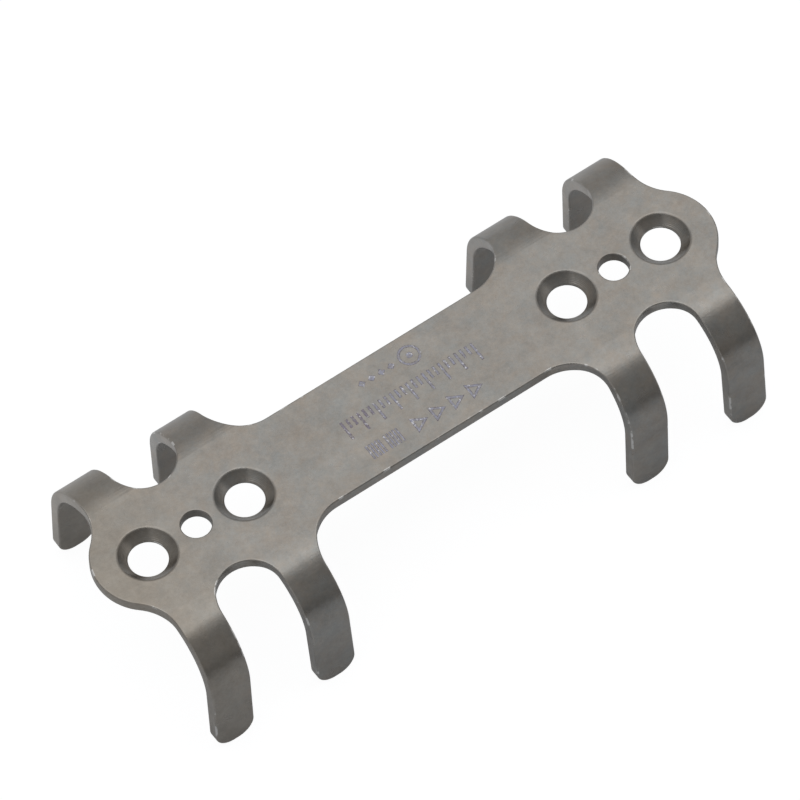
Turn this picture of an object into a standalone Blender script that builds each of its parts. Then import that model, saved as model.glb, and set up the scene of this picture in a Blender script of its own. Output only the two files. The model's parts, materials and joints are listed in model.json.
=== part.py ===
"""A claw bone plate for a rib: one titanium sheet, cut to its outline, drilled and bent.

X runs along the plate, Y across it and Z up. The origin lies under the middle of the
plate, at the height of the claw tips that it stands on.
"""

from math import atan2, ceil, cos, degrees, radians, sin, sqrt

import bmesh
import bpy
from mathutils import Matrix

MM = 0.001

# The sheet
THICKNESS = 0.8 * MM
EDGE_RADIUS = 0.1 * MM

# The flat blank: a shaft that widens at each end into a head with two claws a side
LENGTH = 45.0 * MM
SHAFT_WIDTH = 7.36 * MM
END_RADIUS = 3.54 * MM
INNER_FILLET = 2.8 * MM
OUTER_FILLET = 3.3 * MM

# The claws, as they lie in the blank
CLAW_PITCH = 7.04 * MM
CLAW_ROOT_WIDTH = 2.74 * MM
CLAW_TIP_WIDTH = 2.72 * MM
CLAW_REACH = 15.62 * MM
TIP_RADIUS = 1.2 * MM
TIP_SPLAY = 0.19 * MM

# The bend of each claw, a round shoulder of nearly a right angle above a straight leg
BEND_START = 4.23 * MM
BEND_INSIDE_RADIUS = 3.65 * MM
BEND_ANGLE = 87.8

# The holes, all on the centre line: a small one between two countersunk ones at each end
SCREW_HOLE_DIAMETER = 2.47 * MM
COUNTERSINK_DIAMETER = 3.7 * MM
SMALL_HOLE_DIAMETER = 1.9 * MM

# How finely the round forms are divided
ARC_STEP = 11.5
HOLE_STEP = 10.0
BEND_STEP = 8.5
EDGE_SEGMENTS = 2
WELD = 0.0001 * MM
SHARP_ANGLE = 60.0

# The end is an arc round the outer screw hole, and each screw hole stands between two claws
OUTER_X = LENGTH / 2 - END_RADIUS
INNER_X = OUTER_X - CLAW_PITCH
NOTCH_X = OUTER_X - CLAW_PITCH / 2
NOTCH_RADIUS = (CLAW_PITCH - CLAW_ROOT_WIDTH) / 2

# A screw's seat is as deep as it is wide, but leaves some of the hole straight below it
SEAT_WIDTH = (COUNTERSINK_DIAMETER - SCREW_HOLE_DIAMETER) / 2
SEAT_DEPTH = min(SEAT_WIDTH, THICKNESS - 1.5 * EDGE_RADIUS)

# The bend, at the middle of the sheet
BEND_RADIUS = BEND_INSIDE_RADIUS + THICKNESS / 2
BEND_LENGTH = BEND_RADIUS * radians(BEND_ANGLE)


def arc(x, y, radius, start, end, step=ARC_STEP):
    """Points round (x, y) from one angle to the other, in degrees."""
    count = ceil(abs(end - start) / step)
    angles = [radians(start + (end - start) * i / count) for i in range(count + 1)]
    return [(x + radius * cos(a), y + radius * sin(a)) for a in angles]


def claw_tip(x):
    """The two round corners of a claw whose tip is centred on x."""
    side = CLAW_TIP_WIDTH / 2 - TIP_RADIUS
    y = CLAW_REACH - TIP_RADIUS
    return arc(x - side, y, TIP_RADIUS, 180, 90) + arc(x + side, y, TIP_RADIUS, 90, 0)


def plate_end():
    """From the outer claw's side, through a hollow fillet, to the round end of the plate."""
    across = CLAW_ROOT_WIDTH / 2 + OUTER_FILLET
    up = sqrt((END_RADIUS + OUTER_FILLET) ** 2 - across**2)
    meeting = degrees(atan2(up, across))
    fillet = arc(OUTER_X + across, up, OUTER_FILLET, 180, 180 + meeting)
    return fillet[:-1] + arc(OUTER_X, 0, END_RADIUS, meeting, 0)


def centre_line():
    """Back along the middle of the plate, over the upper half of each hole."""
    screw, small = SCREW_HOLE_DIAMETER / 2, SMALL_HOLE_DIAMETER / 2
    holes = ((OUTER_X, screw), (NOTCH_X, small), (INNER_X, screw))
    return [p for x, radius in holes for p in arc(x, 0, radius, 0, 180, HOLE_STEP)]


def quarter_outline():
    """One quarter of the blank, from the middle of the shaft's edge round to the centre."""
    edge = SHAFT_WIDTH / 2
    inner_side = INNER_X - CLAW_ROOT_WIDTH / 2
    points = [(0, edge)]
    points += arc(inner_side - INNER_FILLET, edge + INNER_FILLET, INNER_FILLET, -90, 0)
    points += claw_tip(INNER_X - TIP_SPLAY)
    points += arc(NOTCH_X, edge + NOTCH_RADIUS, NOTCH_RADIUS, 180, 360)
    points += claw_tip(OUTER_X + TIP_SPLAY)
    points += plate_end()
    points += centre_line()
    return points + [(0, 0)]


def cut_blank(sheet):
    """The flat sheet with its holes, its top face at z = 0."""
    sheet.faces.new([sheet.verts.new((x, y, 0)) for x, y in quarter_outline()])
    for axis in "XY":
        whole = sheet.verts[:] + sheet.edges[:] + sheet.faces[:]
        bmesh.ops.mirror(
            sheet, geom=whole, matrix=Matrix(), merge_dist=WELD, axis=axis
        )
    made = bmesh.ops.extrude_face_region(sheet, geom=sheet.faces[:])["geom"]
    lower = [item for item in made if isinstance(item, bmesh.types.BMVert)]
    bmesh.ops.translate(sheet, verts=lower, vec=(0, 0, -THICKNESS))
    bmesh.ops.recalc_face_normals(sheet, faces=sheet.faces[:])


def on_screw_hole(edge):
    """Whether an edge runs along the upper rim of a screw hole."""
    radius = SCREW_HOLE_DIAMETER / 2
    return any(
        all(
            abs(sqrt((abs(v.co.x) - x) ** 2 + v.co.y**2) - radius) < WELD
            and v.co.z > -WELD
            for v in edge.verts
        )
        for x in (OUTER_X, INNER_X)
    )


def countersink(sheet):
    """A 90 degree seat in each screw hole, for the head of its screw."""
    bmesh.ops.bevel(
        sheet,
        geom=[e for e in sheet.edges if on_screw_hole(e)],
        offset=SEAT_DEPTH,
        segments=1,
        affect="EDGES",
    )


def round_edges(sheet):
    """Every square edge that is left, round the outline and the holes, made smooth."""
    square = [
        e for e in sheet.edges if degrees(e.calc_face_angle(0)) > SHARP_ANGLE
    ]
    bmesh.ops.bevel(
        sheet,
        geom=square,
        offset=EDGE_RADIUS,
        segments=EDGE_SEGMENTS,
        profile=0.5,
        affect="EDGES",
    )


def stations():
    """Distances from the centre line at which the claws are divided for their bend."""
    count = ceil(BEND_ANGLE / BEND_STEP)
    return [BEND_START + BEND_LENGTH * i / count for i in range(count + 1)]


def divide_claws(sheet):
    for place in stations():
        for y in (-place, place):
            whole = sheet.verts[:] + sheet.edges[:] + sheet.faces[:]
            bmesh.ops.bisect_plane(
                sheet, geom=whole, dist=WELD, plane_co=(0, y, 0), plane_no=(0, 1, 0)
            )
    bmesh.ops.triangulate(sheet, faces=sheet.faces[:])


def follow_bend(reach):
    """Place and slope of the middle of the sheet, this far from the centre line along it."""
    flat = min(reach, BEND_START)
    bent = min(max(reach - BEND_START, 0.0), BEND_LENGTH)
    straight = max(reach - BEND_START - BEND_LENGTH, 0.0)
    slope = bent / BEND_RADIUS
    y = flat + BEND_RADIUS * sin(slope) + straight * cos(slope)
    drop = BEND_RADIUS * (1 - cos(slope)) + straight * sin(slope)
    return y, -THICKNESS / 2 - drop, slope


def bend_claws(sheet):
    """Turns all claws down, and lifts the plate to stand on their tips."""
    for vertex in sheet.verts:
        side = -1 if vertex.co.y < 0 else 1
        above = vertex.co.z + THICKNESS / 2
        y, z, slope = follow_bend(abs(vertex.co.y))
        vertex.co.y = side * (y + above * sin(slope))
        vertex.co.z = z + above * cos(slope)
    lowest = min(v.co.z for v in sheet.verts)
    bmesh.ops.translate(sheet, verts=sheet.verts[:], vec=(0, 0, -lowest))


def titanium():
    """Blasted titanium, a warm mid-grey with a soft sheen."""
    material = bpy.data.materials.new("blasted titanium")
    material.use_nodes = True
    shader = material.node_tree.nodes["Principled BSDF"]
    shader.inputs["Base Color"].default_value = (0.30, 0.285, 0.265, 1.0)
    shader.inputs["Metallic"].default_value = 1.0
    shader.inputs["Roughness"].default_value = 0.45
    return material


def bone_plate():
    sheet = bmesh.new()
    cut_blank(sheet)
    countersink(sheet)
    round_edges(sheet)
    divide_claws(sheet)
    bend_claws(sheet)
    mesh = bpy.data.meshes.new("bone_plate")
    sheet.to_mesh(mesh)
    sheet.free()
    mesh.shade_smooth()
    mesh.set_sharp_from_angle(angle=radians(SHARP_ANGLE / 2))
    mesh.materials.append(titanium())
    bpy.context.scene.collection.objects.link(bpy.data.objects.new("bone_plate", mesh))


for old in list(bpy.data.objects):
    bpy.data.objects.remove(old)

bone_plate()
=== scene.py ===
import json
from math import atan2, ceil, cos, degrees, hypot, pi, radians, sin, sqrt

import bmesh
import bpy
from mathutils import Matrix, Vector

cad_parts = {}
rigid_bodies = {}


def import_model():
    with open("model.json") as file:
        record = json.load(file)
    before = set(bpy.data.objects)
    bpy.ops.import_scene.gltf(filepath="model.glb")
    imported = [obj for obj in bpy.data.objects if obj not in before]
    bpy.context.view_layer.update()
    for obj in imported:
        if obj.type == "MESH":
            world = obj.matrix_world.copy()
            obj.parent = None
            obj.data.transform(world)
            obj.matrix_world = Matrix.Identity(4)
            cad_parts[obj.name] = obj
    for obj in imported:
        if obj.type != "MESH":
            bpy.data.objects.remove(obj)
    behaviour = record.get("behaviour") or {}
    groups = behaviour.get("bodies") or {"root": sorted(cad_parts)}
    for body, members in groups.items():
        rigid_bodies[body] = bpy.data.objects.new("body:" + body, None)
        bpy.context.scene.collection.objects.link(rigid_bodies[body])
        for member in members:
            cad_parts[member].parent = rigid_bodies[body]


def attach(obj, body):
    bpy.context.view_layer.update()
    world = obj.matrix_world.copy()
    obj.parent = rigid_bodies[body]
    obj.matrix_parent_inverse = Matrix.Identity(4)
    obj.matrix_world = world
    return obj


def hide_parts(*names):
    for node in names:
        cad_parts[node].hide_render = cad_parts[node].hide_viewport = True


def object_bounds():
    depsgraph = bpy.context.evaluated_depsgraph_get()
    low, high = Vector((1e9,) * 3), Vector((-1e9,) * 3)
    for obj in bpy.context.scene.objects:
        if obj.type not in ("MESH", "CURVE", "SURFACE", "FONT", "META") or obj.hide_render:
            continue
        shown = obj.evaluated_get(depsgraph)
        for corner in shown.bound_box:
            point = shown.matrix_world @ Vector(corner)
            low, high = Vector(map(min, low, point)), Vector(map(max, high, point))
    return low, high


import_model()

cad_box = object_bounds()

# The blank. The plate is cut from one flat titanium sheet: a shaft that widens at each end
# into a head with two claws a side, and three holes on the centre line of each head.
# A quarter of its outline is drawn with rule and compass, filled, mirrored and made thick.

MM = 0.001
WELD = 0.001 * MM
TOP = cad_box[1].z
SHEET = 0.8 * MM

LENGTH = 45.0 * MM
SHAFT_WIDTH = 7.36 * MM
END_RADIUS = 3.54 * MM
INNER_FILLET = 2.8 * MM
OUTER_FILLET = 3.3 * MM

CLAW_PITCH = 7.04 * MM
CLAW_ROOT_WIDTH = 2.74 * MM
CLAW_TIP_WIDTH = 2.72 * MM
CLAW_REACH = 15.62 * MM
TIP_RADIUS = 1.2 * MM
TIP_SPLAY = 0.19 * MM

SCREW_HOLE = 2.47 * MM / 2
SMALL_HOLE = 1.9 * MM / 2

OUTER_SCREW_X = LENGTH / 2 - END_RADIUS
INNER_SCREW_X = OUTER_SCREW_X - CLAW_PITCH
NOTCH_X = OUTER_SCREW_X - CLAW_PITCH / 2
NOTCH_RADIUS = (CLAW_PITCH - CLAW_ROOT_WIDTH) / 2
SHAFT_EDGE = SHAFT_WIDTH / 2

OUTLINE_STEP = 4.0
HOLE_STEP = 4.0

bpy.ops.object.select_all(action="DESELECT")
bpy.ops.mesh.primitive_plane_add(size=0.1 * MM, location=(0, SHAFT_EDGE, TOP))
plate = bpy.context.object
plate.name = plate.data.name = "titanium_plate"
bpy.ops.object.transform_apply()
bpy.ops.object.mode_set(mode="EDIT")
bpy.ops.mesh.merge(type="CENTER")


def rule_to(x, y):
    """Draws the outline straight on to a point."""
    drawing = bmesh.from_edit_mesh(plate.data)
    pen = next(v.co for v in drawing.verts if v.select)
    stroke = Vector((x, y, TOP)) - pen
    bpy.ops.mesh.extrude_region_move(TRANSFORM_OT_translate={"value": stroke})


def compass(x, y, turn, step=OUTLINE_STEP):
    """Swings the outline on round a centre, by an angle in degrees seen from above."""
    steps = ceil(abs(turn) / step)
    bpy.ops.mesh.spin(steps=steps, angle=radians(turn), center=(x, y, TOP), axis=(0, 0, -1))


def claw_tip(x):
    """Up one side of a claw, round both corners of its tip."""
    corner_x = CLAW_TIP_WIDTH / 2 - TIP_RADIUS
    corner_y = CLAW_REACH - TIP_RADIUS
    rule_to(x - CLAW_TIP_WIDTH / 2, corner_y)
    compass(x - corner_x, corner_y, -90)
    rule_to(x + corner_x, CLAW_REACH)
    compass(x + corner_x, corner_y, -90)


def half_hole(x, radius):
    """In along the centre line and over the upper half of a hole."""
    rule_to(x + radius, 0)
    compass(x, 0, 180, HOLE_STEP)


fillet_x = INNER_SCREW_X - CLAW_ROOT_WIDTH / 2 - INNER_FILLET
rule_to(fillet_x, SHAFT_EDGE)
compass(fillet_x, SHAFT_EDGE + INNER_FILLET, 90)
claw_tip(INNER_SCREW_X - TIP_SPLAY)
rule_to(NOTCH_X - NOTCH_RADIUS, SHAFT_EDGE + NOTCH_RADIUS)
compass(NOTCH_X, SHAFT_EDGE + NOTCH_RADIUS, 180)
claw_tip(OUTER_SCREW_X + TIP_SPLAY)

# The hollow fillet at the outer claw's root runs tangent into the round end of the plate.
fillet_out = CLAW_ROOT_WIDTH / 2 + OUTER_FILLET
fillet_up = sqrt((END_RADIUS + OUTER_FILLET) ** 2 - fillet_out**2)
tangent = degrees(atan2(fillet_up, fillet_out))
rule_to(OUTER_SCREW_X + CLAW_ROOT_WIDTH / 2, fillet_up)
compass(OUTER_SCREW_X + fillet_out, fillet_up, tangent)
compass(OUTER_SCREW_X, 0, -tangent)

half_hole(OUTER_SCREW_X, SCREW_HOLE)
half_hole(NOTCH_X, SMALL_HOLE)
half_hole(INNER_SCREW_X, SCREW_HOLE)
rule_to(0, 0)
rule_to(0, SHAFT_EDGE)
bpy.ops.mesh.select_all(action="SELECT")
bpy.ops.mesh.remove_doubles(threshold=WELD)
bpy.ops.mesh.edge_face_add()
bpy.ops.object.mode_set(mode="OBJECT")


def finish_with(kind, **settings):
    """Adds a modifier to the plate, sets it and applies it."""
    modifier = plate.modifiers.new(kind.lower(), kind)
    for name, value in settings.items():
        setattr(modifier, name, value)
    bpy.ops.object.modifier_apply(modifier=modifier.name)


finish_with("MIRROR", use_axis=(True, True, False), merge_threshold=WELD)
bpy.ops.object.mode_set(mode="EDIT")
bpy.ops.mesh.select_all(action="SELECT")
bpy.ops.mesh.extrude_region_move(TRANSFORM_OT_translate={"value": (0, 0, -SHEET)})
bpy.ops.mesh.select_all(action="SELECT")
bpy.ops.mesh.normals_make_consistent(inside=False)

# The screw seats and the edges. Each screw hole has a slightly hollow seat turned for its
# screw's head, with a soft upper rim and a lower one that is only broken. Every square edge
# is tumbled round, so that nothing on the plate cuts the tissue round it.

SEAT_WIDTH = 0.615 * MM
SEAT_HOLLOW = 0.2
SQUARE = (65, 120)
SEAT_CORNER = (30, 65)
EDGE_RADIUS = 0.1 * MM
UPPER_RIM = 0.12 * MM
LOWER_RIM = 0.035 * MM


def choose(kind, wanted):
    """Selects the edges or the faces for which the test holds, and no others."""
    bpy.ops.mesh.select_all(action="DESELECT")
    bpy.ops.mesh.select_mode(type=kind)
    sheet = bmesh.from_edit_mesh(plate.data)
    for part in sheet.edges if kind == "EDGE" else sheet.faces:
        if wanted(part):
            part.select = True
    sheet.select_flush_mode()
    bmesh.update_edit_mesh(plate.data)


def on_top(edge):
    """In the plate's top face."""
    return all(v.co.z > TOP - WELD for v in edge.verts)


def on_screw_hole(edge):
    """Round a screw hole."""
    return all(
        min(
            abs(hypot(abs(v.co.x) - x, v.co.y) - SCREW_HOLE)
            for x in (OUTER_SCREW_X, INNER_SCREW_X)
        ) < WELD
        for v in edge.verts
    )


def upright(face):
    """Square to the sheet, so that the cutter or the drill left it."""
    return abs(face.normal.z) < 0.1


def in_hole(face):
    """Inside one of the holes on the centre line."""
    place = face.calc_center_median()
    return abs(place.y) < SCREW_HOLE and abs(place.x) < OUTER_SCREW_X + SCREW_HOLE


def turned(low, high):
    """A test for edges at which the surface turns by an angle in this range, in degrees."""
    return lambda edge: low < degrees(edge.calc_face_angle(0)) < high


def remember(marking):
    """Marks the selected faces with a named attribute: how their surface was made, or the painted light
    or shade that they get.
    """
    sheet = bmesh.from_edit_mesh(plate.data)
    layers = sheet.faces.layers.float
    mark = layers.get(marking) or layers.new(marking)
    for face in sheet.faces:
        if face.select:
            face[mark] = 1.0
    bmesh.update_edit_mesh(plate.data)


choose("EDGE", lambda edge: on_top(edge) and on_screw_hole(edge))
bpy.ops.mesh.bevel(offset=SEAT_WIDTH, segments=5, profile=SEAT_HOLLOW, affect="EDGES")
remember("turned seat")
choose("EDGE", turned(*SQUARE))
bpy.ops.mesh.bevel(offset=EDGE_RADIUS, segments=4, profile=0.5, affect="EDGES")
# The rounded edges are marked for a painted highlight
remember("edge painted highlight")
choose("EDGE", lambda edge: on_top(edge) and turned(*SEAT_CORNER)(edge))
bpy.ops.mesh.bevel(offset=UPPER_RIM, segments=5, profile=0.5, affect="EDGES")
choose("EDGE", turned(*SEAT_CORNER))
bpy.ops.mesh.bevel(offset=LOWER_RIM, segments=3, profile=0.5, affect="EDGES")
# The lower rims of the seats get the painted highlight too
remember("edge painted highlight")
# Outer upright walls are marked for painted light, and the walls inside the holes for painted shade
choose("FACE", lambda face: upright(face) and not in_hole(face))
remember("outer wall painted light")
choose("FACE", lambda face: upright(face) and in_hole(face))
remember("hole wall painted shade")

# The claws. They are bent down round a former, through a round shoulder of nearly a right
# angle with a straight leg below it. The half of the sheet at +Y is divided across its
# claws, bent, and mirrored for the other side.

BEND_START = 4.23 * MM
BEND_RADIUS = 3.65 * MM + SHEET / 2
BEND_ANGLE = 87.8
BEND_STEP = 2.75

bend_length = BEND_RADIUS * radians(BEND_ANGLE)
parts = ceil(BEND_ANGLE / BEND_STEP)
cuts = [BEND_START + bend_length * i / parts for i in range(parts + 1)]

bpy.ops.mesh.select_mode(type="VERT")
bpy.ops.mesh.select_all(action="SELECT")
bpy.ops.mesh.bisect(plane_co=(0, 0, 0), plane_no=(0, 1, 0), clear_inner=True, threshold=WELD)
for cut in cuts:
    bpy.ops.mesh.select_all(action="SELECT")
    bpy.ops.mesh.bisect(plane_co=(0, cut, 0), plane_no=(0, 1, 0), threshold=WELD)
bpy.ops.object.mode_set(mode="OBJECT")

bpy.ops.object.empty_add(location=(0, BEND_START, TOP - SHEET / 2), rotation=(radians(-90), 0, 0))
former = bpy.context.object
bpy.ops.object.select_all(action="DESELECT")
plate.select_set(True)
bpy.context.view_layer.objects.active = plate
finish_with(
    "SIMPLE_DEFORM",
    deform_method="BEND",
    deform_axis="X",
    origin=former,
    angle=radians(BEND_ANGLE),
    limits=(BEND_START / CLAW_REACH, (BEND_START + bend_length) / CLAW_REACH),
)
bpy.data.objects.remove(former)
finish_with("MIRROR", use_axis=(False, True, False), merge_threshold=WELD)
bpy.ops.object.shade_smooth()
finish_with("WEIGHTED_NORMAL", mode="FACE_AREA", weight=50)

# The metal. The titanium is blasted to a fine, even grain, and a thin film of oxide tints it
# in faint patches, browner at one end. The screw seats keep the rings of the tool that turned
# them. The rounded edges carry a painted highlight with brighter painted glints as nicks. The
# outer walls are painted light, and the seats and the walls inside the holes are painted shade.

COOL_GREY = (0.275, 0.275, 0.265)
WARM_GREY = (0.307, 0.274, 0.239)
BROWNER = (0.300, 0.268, 0.226)
# A painted highlight for the rounded edges, and brighter painted glints at nicks
PAINTED_EDGE_HIGHLIGHT = (0.44, 0.42, 0.39)
PAINTED_NICK_GLINT = (0.66, 0.65, 0.63)
PIT = 0.09 * MM
PIT_DEPTH = 0.004 * MM
RING_STEP = 0.07 * MM
WAVE_LENGTH = 0.314

titanium = bpy.data.materials.new("blasted titanium")
titanium.use_nodes = True
metal = titanium.node_tree
shader = metal.nodes["Principled BSDF"]
shader.inputs["Metallic"].default_value = 1.0


def spots(tree, size, detail=2.0, evenness=0.5):
    """Random spots up to this size, fixed to the metal."""
    place = tree.nodes.new("ShaderNodeTexCoord")
    noise = tree.nodes.new("ShaderNodeTexNoise")
    noise.inputs["Scale"].default_value = 1 / size
    noise.inputs["Detail"].default_value = detail
    noise.inputs["Roughness"].default_value = evenness
    tree.links.new(place.outputs["Object"], noise.inputs["Vector"])
    return noise.outputs["Fac"]


def ranged(tree, value, low, high, first, last):
    """Turns one range of a value into another, and holds it beyond both ends."""
    spread = tree.nodes.new("ShaderNodeMapRange")
    tree.links.new(value, spread.inputs["Value"])
    spread.inputs["From Min"].default_value = low
    spread.inputs["From Max"].default_value = high
    spread.inputs["To Min"].default_value = first
    spread.inputs["To Max"].default_value = last
    return spread.outputs["Result"]


def times(tree, first, second):
    """One value times another."""
    product = tree.nodes.new("ShaderNodeMath")
    product.operation = "MULTIPLY"
    for socket, factor in zip(product.inputs, (first, second)):
        if isinstance(factor, float):
            socket.default_value = factor
        else:
            tree.links.new(factor, socket)
    return product.outputs["Value"]


def over(tree, share, under, upper, kind="RGBA"):
    """Lays one colour or value over another, thinly or thickly."""
    coat = tree.nodes.new("ShaderNodeMix")
    coat.data_type = kind
    tree.links.new(share, coat.inputs[0])
    first = 6 if kind == "RGBA" else 2
    for socket, part in zip(coat.inputs[first:first + 2], (under, upper)):
        if isinstance(part, tuple):
            socket.default_value = (*part, 1.0)
        elif isinstance(part, float):
            socket.default_value = part
        else:
            tree.links.new(part, socket)
    return coat.outputs[2 if kind == "RGBA" else 0]


def marked_as(tree, marking):
    """1 on the faces with this mark, for how the surface was made or for painted light or shade, 0 on
    the others.
    """
    mark = tree.nodes.new("ShaderNodeAttribute")
    mark.attribute_name = marking
    return mark.outputs["Fac"]


# The oxide's faint patches, a few millimetres across and finer, and the browner end
patches = ranged(metal, spots(metal, 2.4 * MM, 6.0, 0.85), 0.35, 0.65, 0.0, 1.0)
tone = over(metal, patches, COOL_GREY, WARM_GREY)
along = metal.nodes.new("ShaderNodeSeparateXYZ")
metal.links.new(metal.nodes.new("ShaderNodeTexCoord").outputs["Object"], along.inputs[0])
browner = ranged(metal, along.outputs["X"], -14 * MM, -22 * MM, 0.0, 0.7)
tone = over(metal, browner, tone, BROWNER)

# The grain, as small lighter and darker specks, with painted light on the outer walls of the
# outline and painted shade in the screw seats and on the walls inside the holes
specks_with_painted_light_and_shade = metal.nodes.new("ShaderNodeHueSaturation")
metal.links.new(tone, specks_with_painted_light_and_shade.inputs["Color"])
grain_with_painted_light_and_shade = ranged(metal, spots(metal, 3.0 * MM, 7.0, 0.97), 0.3, 0.7, 0.86, 1.30)
seat = marked_as(metal, "turned seat")
# Outer walls are painted lighter, and hole walls and screw seats are painted darker as painted shade
for surface, share in (
    (marked_as(metal, "outer wall painted light"), 1.13),
    (marked_as(metal, "hole wall painted shade"), 0.72),
    (seat, 0.86),
):
    grain_with_painted_light_and_shade = times(metal, grain_with_painted_light_and_shade, ranged(metal, surface, 0.0, 1.0, 1.0, share))
metal.links.new(grain_with_painted_light_and_shade, specks_with_painted_light_and_shade.inputs["Value"])

# Painted highlights along stretches of the rounded edges, and short brighter painted glints in them as
# nicks
edge = marked_as(metal, "edge painted highlight")
painted_edge_highlight = times(metal, edge, ranged(metal, spots(metal, 2.0 * MM, 3.0), 0.42, 0.62, 0.0, 0.5))
painted_nick_glint = times(metal, edge, ranged(metal, spots(metal, 1.0 * MM, 4.0, 0.5), 0.60, 0.64, 0.0, 1.0))
tone = over(metal, painted_edge_highlight, specks_with_painted_light_and_shade.outputs["Color"], PAINTED_EDGE_HIGHLIGHT)
tone = over(metal, painted_nick_glint, tone, PAINTED_NICK_GLINT)
metal.links.new(tone, shader.inputs["Base Color"])

# The roughness, satin all over, rougher at a nick and glossier along the edges with painted highlights
satin = ranged(metal, spots(metal, 1.7 * MM, 6.0, 0.8), 0.35, 0.65, 0.27, 0.34)
satin = over(metal, seat, satin, 0.30, "FLOAT")
satin = over(metal, painted_edge_highlight, satin, 0.24, "FLOAT")
satin = over(metal, painted_nick_glint, satin, 0.42, "FLOAT")
metal.links.new(satin, shader.inputs["Roughness"])

# The relief: pits left by the blasting, and level rings in the screw seats. At a scale of 1
# the wave pattern has a ring every WAVE_LENGTH metres.
ring_place = metal.nodes.new("ShaderNodeTexCoord")
rings = metal.nodes.new("ShaderNodeTexWave")
rings.bands_direction = "Z"
rings.inputs["Scale"].default_value = WAVE_LENGTH / RING_STEP
metal.links.new(ring_place.outputs["Object"], rings.inputs["Vector"])
relief = over(metal, seat, spots(metal, PIT, 3.0, 0.6), rings.outputs["Fac"], "FLOAT")
pits = metal.nodes.new("ShaderNodeBump")
pits.inputs["Strength"].default_value = 1.0
pits.inputs["Distance"].default_value = PIT_DEPTH
metal.links.new(relief, pits.inputs["Height"])
metal.links.new(pits.outputs["Normal"], shader.inputs["Normal"])
plate.data.materials.append(titanium)

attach(plate, "root")
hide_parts("bone_plate")

# The etched marks. A laser writes them on the flat shaft and leaves a film of oxide, which is
# lilac-blue along the middle of each stroke and violet at its edges: a graduated scale on the
# centre line, arrowheads and hatched blocks in front of it, and a ring and points behind it.

ETCH_TOP = TOP + 0.003 * MM
ETCH_DEPTH = 0.02 * MM
STROKE = 0.19 * MM
STROKE_EDGE = 0.035 * MM
BACK_ROW = 2.2 * MM
FRONT_ROW = -2.1 * MM
SCALE_START = -4.4 * MM
SCALE_STEP = 1.2 * MM
LONG_STROKE = 1.4 * MM
SHORT_STROKE = 0.7 * MM

LILAC_THIN, LILAC_THICK, LILAC_GLINT = (0.25, 0.235, 0.25), (0.31, 0.32, 0.40), (0.58, 0.58, 0.61)
VIOLET_THIN, VIOLET_THICK = (0.12, 0.105, 0.12), (0.21, 0.195, 0.225)
VIOLET_GLINT = (0.42, 0.41, 0.43)
SCALE_END_VIOLET = (0.17, 0.14, 0.17)
BARE_METAL = (0.292, 0.278, 0.258)


def oxide(name, thin, thick, glint, closed):
    """A film of oxide over the blasted, grainy metal, with gaps in it and bright painted glints.

    A film that is closed to 0.5 leaves about half of the metal bare, and one to 0.6 little.
    """
    material = bpy.data.materials.new(name)
    material.use_nodes = True
    film = material.node_tree
    shader = film.nodes["Principled BSDF"]
    shader.inputs["Metallic"].default_value = 1.0
    shimmer = ranged(film, spots(film, 0.25 * MM, 4.0, 0.8), 0.38, 0.62, 0.0, 1.0)
    colour = over(film, shimmer, thin, thick)
    place = film.nodes.new("ShaderNodeSeparateXYZ")
    film.links.new(film.nodes.new("ShaderNodeTexCoord").outputs["Object"], place.inputs[0])
    first = ranged(film, place.outputs["X"], -1.9 * MM, -2.6 * MM, 0.0, 0.6)
    on_scale = ranged(film, place.outputs["Y"], -1.2 * MM, -0.9 * MM, 0.0, 1.0)
    colour = over(film, times(film, first, on_scale), colour, SCALE_END_VIOLET)
    gaps = ranged(film, spots(film, 0.14 * MM, 3.0, 0.6), closed, closed + 0.04, 0.0, 0.8)
    colour = over(film, gaps, colour, BARE_METAL)
    # Bright painted glints in the film
    bright = ranged(film, spots(film, 0.16 * MM, 2.0), 0.60, 0.66, 0.0, 1.0)
    film.links.new(over(film, bright, colour, glint), shader.inputs["Base Color"])
    satin = ranged(film, spots(film, 0.2 * MM, 3.0), 0.35, 0.65, 0.24, 0.42)
    film.links.new(satin, shader.inputs["Roughness"])
    pits = film.nodes.new("ShaderNodeBump")
    pits.inputs["Strength"].default_value = 1.0
    pits.inputs["Distance"].default_value = 0.006 * MM
    film.links.new(spots(film, PIT, 3.0, 0.6), pits.inputs["Height"])
    film.links.new(pits.outputs["Normal"], shader.inputs["Normal"])
    return material


bpy.ops.object.select_all(action="DESELECT")
bpy.ops.mesh.primitive_plane_add(size=STROKE, location=(SCALE_START, 0, ETCH_TOP))
marks = bpy.context.object
marks.name = marks.data.name = "etched_marks"
bpy.ops.object.transform_apply()
lilac = oxide("lilac oxide", LILAC_THIN, LILAC_THICK, LILAC_GLINT, 0.58)
violet = oxide("violet oxide", VIOLET_THIN, VIOLET_THICK, VIOLET_GLINT, 0.50)
marks.data.materials.append(lilac)
marks.data.materials.append(violet)
bpy.ops.object.mode_set(mode="EDIT")


def lengthen(x, y, length, width=STROKE):
    """Stretches the selected stroke to its length across the plate."""
    bpy.ops.transform.resize(value=(1, length / width, 1), center_override=(x, y, ETCH_TOP))


def stroke(x, y, length, width=STROKE):
    """One straight stroke across the plate."""
    bpy.ops.mesh.primitive_plane_add(size=width, location=(x, y, ETCH_TOP))
    lengthen(x, y, length, width)


def figure(x, y, corners, size, turn=0.0):
    """A closed figure, filled."""
    bpy.ops.mesh.primitive_circle_add(
        vertices=corners,
        radius=size / 2,
        fill_type="NGON",
        location=(x, y, ETCH_TOP),
        rotation=(0, 0, radians(turn)),
    )


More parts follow.
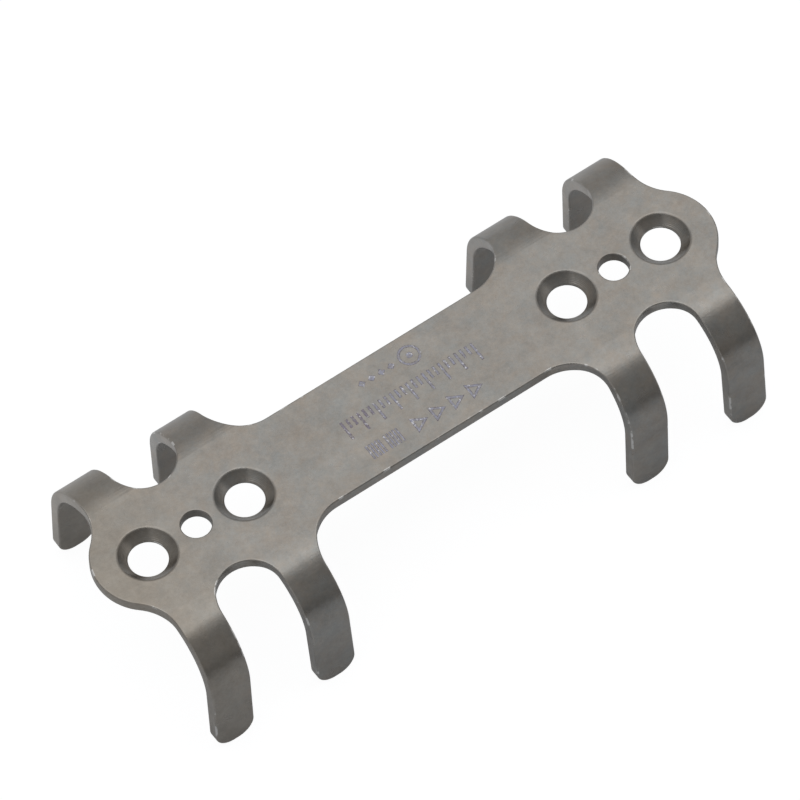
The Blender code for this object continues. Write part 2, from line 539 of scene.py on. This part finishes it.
def open_figure(x, y, corners, size, turn=0.0):
    """The same, left open inside its stroke."""
    figure(x, y, corners, size, turn)
    bpy.ops.mesh.inset(thickness=STROKE)
    bpy.ops.mesh.delete(type="FACE")
    drawing = bmesh.from_edit_mesh(marks.data)
    for corner in drawing.verts:
        corner.select = hypot(corner.co.x - x, corner.co.y - y) < size / 2 + WELD
    drawing.select_flush(True)


def edge_violet(width=STROKE_EDGE):
    """Sets a violet border round the selected mark, whose middle stays lilac."""
    for slot in (1, 0):
        drawing = bmesh.from_edit_mesh(marks.data)
        for face in drawing.faces:
            if face.select:
                face.material_index = slot
        if slot == 1:
            bpy.ops.mesh.inset(thickness=width)
    bpy.ops.mesh.select_linked()


def repeat(count, step):
    """Copies the selected mark along the plate."""
    for _ in range(count):
        bpy.ops.mesh.duplicate_move(TRANSFORM_OT_translate={"value": (step, 0, 0)})


# The scale, a long stroke and two short ones at each step
bpy.ops.mesh.select_all(action="SELECT")
lengthen(SCALE_START, 0, LONG_STROKE)
edge_violet()
repeat(8, SCALE_STEP)
for third in (1, 2):
    stroke(SCALE_START + third * SCALE_STEP / 3, (LONG_STROKE - SHORT_STROKE) / 2, SHORT_STROKE)
    edge_violet()
    repeat(7, SCALE_STEP)

# Arrowheads, the ring with its centre point, and a row of points
RING_X = 1.75 * MM
open_figure(-0.6 * MM, FRONT_ROW, 3, 1.4 * MM, -90)
edge_violet()
repeat(3, 1.35 * MM)
open_figure(RING_X, BACK_ROW, 40, 1.5 * MM)
edge_violet()
figure(RING_X, BACK_ROW, 20, 0.45 * MM)
edge_violet()
figure(-RING_X, BACK_ROW, 4, 0.55 * MM)
edge_violet()
repeat(3, 0.72 * MM)

# The hatched blocks, of finer strokes
FINE_STROKE = 0.15 * MM
FINE_STROKE_EDGE = 0.03 * MM
for block_start in (-4.15 * MM, -2.85 * MM):
    stroke(block_start, FRONT_ROW, 1.1 * MM, FINE_STROKE)
    edge_violet(FINE_STROKE_EDGE)
    repeat(4, 0.22 * MM)

bpy.ops.mesh.select_all(action="SELECT")
bpy.ops.mesh.extrude_region_move(TRANSFORM_OT_translate={"value": (0, 0, -ETCH_DEPTH)})
bpy.ops.mesh.select_all(action="SELECT")
bpy.ops.mesh.normals_make_consistent(inside=False)
bpy.ops.object.mode_set(mode="OBJECT")

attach(marks, "root")

# The studio: a pale floor that the claw tips stand on, white where the camera sees it, with
# the plate's shadow left on it. Part of that white shows in the metal too. More of it shows
# behind the plate, a painted pool of light seen only in reflections. The world round the floor
# is white to the camera as well.

FLOOR_SIZE = 8.0
PAPER_WHITE = (0.63, 0.65, 0.68, 1)
GLOW = 1.18
SEEN_BY_CAMERA = 0.8
IN_METAL = 0.08
# More of the floor's glow shows in the metal behind the plate: a painted pool of light
PAINTED_POOL_IN_METAL_BEHIND = 0.26

bpy.ops.object.select_all(action="DESELECT")
bpy.ops.mesh.primitive_plane_add(size=FLOOR_SIZE, location=(0, 0, 0))
floor = bpy.context.object
floor.name = "floor"
paper = bpy.data.materials.new("white paper")
paper.use_nodes = True


def seen_white(tree, to_camera, in_metal):
    """How much of the white shows: to the camera, and in a reflection or through glass."""
    path = tree.nodes.new("ShaderNodeLightPath")
    reflected = tree.nodes.new("ShaderNodeMath")
    reflected.operation = "MAXIMUM"
    tree.links.new(path.outputs["Is Glossy Ray"], reflected.inputs[0])
    tree.links.new(path.outputs["Is Transmission Ray"], reflected.inputs[1])
    shares = [times(tree, path.outputs["Is Camera Ray"], to_camera)]
    shares.append(times(tree, reflected.outputs["Value"], in_metal))
    both = tree.nodes.new("ShaderNodeMath")
    both.operation = "ADD"
    for socket, share in zip(both.inputs, shares):
        tree.links.new(share, socket)
    return both.outputs["Value"]


sheet = paper.node_tree
shader = sheet.nodes["Principled BSDF"]
shader.inputs["Base Color"].default_value = PAPER_WHITE
shader.inputs["Roughness"].default_value = 0.9
glow = sheet.nodes.new("ShaderNodeEmission")
glow.inputs["Strength"].default_value = GLOW
mix = sheet.nodes.new("ShaderNodeMixShader")
floor_place = sheet.nodes.new("ShaderNodeSeparateXYZ")
sheet.links.new(sheet.nodes.new("ShaderNodeTexCoord").outputs["Object"], floor_place.inputs[0])
# Behind the plate the floor glows more in reflections, as a painted pool of light
painted_pool_behind = ranged(sheet, floor_place.outputs["Y"], 7 * MM, 11 * MM, IN_METAL, PAINTED_POOL_IN_METAL_BEHIND)
sheet.links.new(seen_white(sheet, SEEN_BY_CAMERA, painted_pool_behind), mix.inputs[0])
sheet.links.new(shader.outputs[0], mix.inputs[1])
sheet.links.new(glow.outputs[0], mix.inputs[2])
sheet.links.new(mix.outputs[0], sheet.nodes["Material Output"].inputs["Surface"])
floor.data.materials.append(paper)

room = bpy.data.worlds.new("room")
bpy.context.scene.world = room
room.use_nodes = True
air = room.node_tree
level = ranged(air, seen_white(air, 1.0, IN_METAL), 0.0, 1.0, 0.02, 1.0)
air.nodes["Background"].inputs["Color"].default_value = (1, 1, 1, 1)
air.links.new(level, air.nodes["Background"].inputs["Strength"])


def soft_light(name, width, depth, place, radiance, face=(0, 0, -1)):
    """A large flat light, as bright over its whole face as a white surface times radiance."""
    bpy.ops.object.light_add(type="AREA", location=place)
    lamp = bpy.context.object
    lamp.name = name
    lamp.rotation_euler = Vector(face).to_track_quat("-Z", "Y").to_euler()
    lamp.data.shape = "RECTANGLE"
    lamp.data.size = width
    lamp.data.size_y = depth
    lamp.data.energy = radiance * pi * width * depth
    lamp.visible_camera = False


# A softbox hangs over the plate, brighter along its front and with a dimmer skirt behind;
# pale sheets stand at the back and on both sides, and one leans at the front.
soft_light("softbox", 1.8, 0.90, (0, 0.126, 1.0), 1.00)
soft_light("softbox front", 1.8, 0.325, (0, -0.1625, 0.99), 0.25)
soft_light("softbox skirt", 1.8, 0.39, (0, 0.772, 1.0), 0.74)
soft_light("back sheet", 3.0, 1.55, (0, 1.5, 0.775), 0.41, (0, -1, 0))
soft_light("front sheet", 3.0, 1.35, (0, -0.912, 0.79), 0.20, (0, 0.983, -0.688))
soft_light("left sheet", 3.0, 1.5, (-1.5, 0, 0.75), 0.34, (1, 0, 0))
soft_light("right sheet", 3.0, 1.5, (1.5, 0, 0.75), 0.45, (-1, 0, 0))

# The camera looks down on the plate from its left front corner, as the photograph does.

AZIMUTH, ELEVATION, ROLL = radians(-32.438), radians(57.648), radians(3.363)
DISTANCE = 551.08 * MM
ASIDE, BELOW = 0.3968 * MM, -0.3437 * MM

forward = Vector((-sin(AZIMUTH) * cos(ELEVATION), cos(AZIMUTH) * cos(ELEVATION), -sin(ELEVATION)))
level_right = Vector((cos(AZIMUTH), sin(AZIMUTH), 0))
level_down = forward.cross(level_right)
right = cos(ROLL) * level_right + sin(ROLL) * level_down
down = -sin(ROLL) * level_right + cos(ROLL) * level_down
stand = Vector((0, 0, TOP)) - DISTANCE * forward - ASIDE * right - BELOW * down
bpy.ops.object.camera_add()
camera = bpy.context.object
camera.matrix_world = Matrix.Translation(stand) @ Matrix((right, -down, -forward)).transposed().to_4x4()
camera.data.lens = 411.06
camera.data.sensor_width = 36.0
camera.data.clip_start = 0.01
camera.data.clip_end = 20.0
bpy.context.scene.camera = camera

bpy.context.scene.view_settings.view_transform = "Standard"
